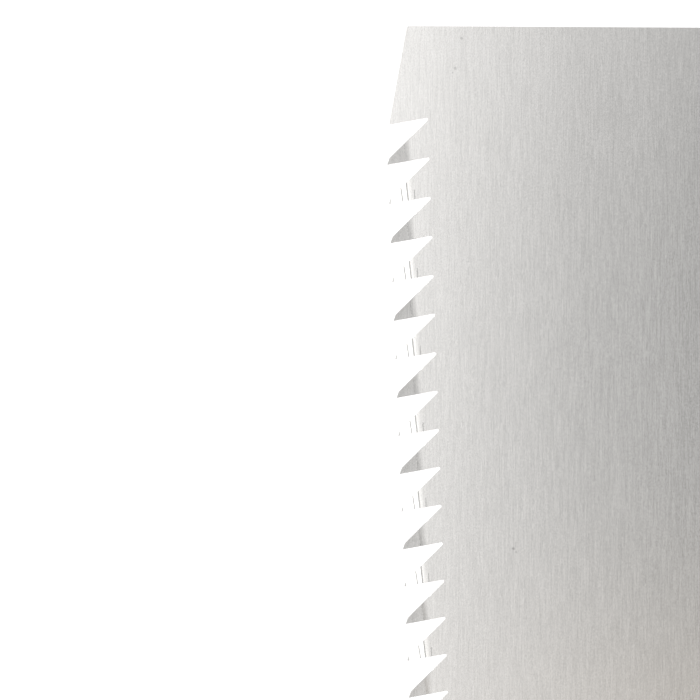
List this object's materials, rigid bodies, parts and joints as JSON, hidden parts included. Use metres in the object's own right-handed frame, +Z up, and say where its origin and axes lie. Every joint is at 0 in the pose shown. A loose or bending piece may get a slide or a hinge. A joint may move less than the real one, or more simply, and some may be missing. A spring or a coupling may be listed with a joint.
{
  "type": "ryoba saw",
  "caption": "Double-edged Japanese pull saw: thin tapered blade with rip and crosscut teeth, clamped by a screw in a folded steel socket on a cane-wrapped wooden handle.",
  "frame": {"origin": "middle of the saw's length and width, on the surface that it lies on", "axes": "+Y towards the toe, +X towards the crosscut edge, +Z up out of the blade's face on the clamp screw's side"},
  "size_m": [0.0949, 0.6038, 0.023],
  "materials": {
    "blade": "ground along the blade, fine straight grain",
    "socket": "plated, smooth",
    "fastener": "zinc plated",
    "wood": "planed, unvarnished",
    "ferrule": "satin",
    "cane": "natural cane skin"
  },
  "bodies": {
    "handle": {"handle_core_upper": "wood", "handle_core_lower": "wood", "front_ferrule": "ferrule", "cane_wrap": "cane", "blade_socket": "socket", "socket_pin_front": "socket", "socket_pin_rear": "socket", "clamp_nut": "fastener"},
    "blade": {"blade": "blade"},
    "washer": {"spring_washer": "fastener"},
    "screw": {"clamp_screw": "fastener"}
  },
  "joints": [
    {"name": "blade_pull", "type": "slide", "parent": "handle", "child": "blade", "axis": [0, 1, 0], "range_m": [0, 0.045]},
    {"name": "screw_lift", "type": "slide", "parent": "handle", "child": "washer", "axis": [0, 0, 1], "range_m": [0, 0.0024]},
    {"name": "screw_turn", "type": "hinge", "parent": "washer", "child": "screw", "pos_m": [0, 0.00209, 0.0115], "axis": [0, 0, 1], "range_deg": [0, 1080]}
  ],
  "couplings": [
    {"joint": "screw_turn", "follows": "screw_lift", "rad_per_m": 7854}
  ]
}
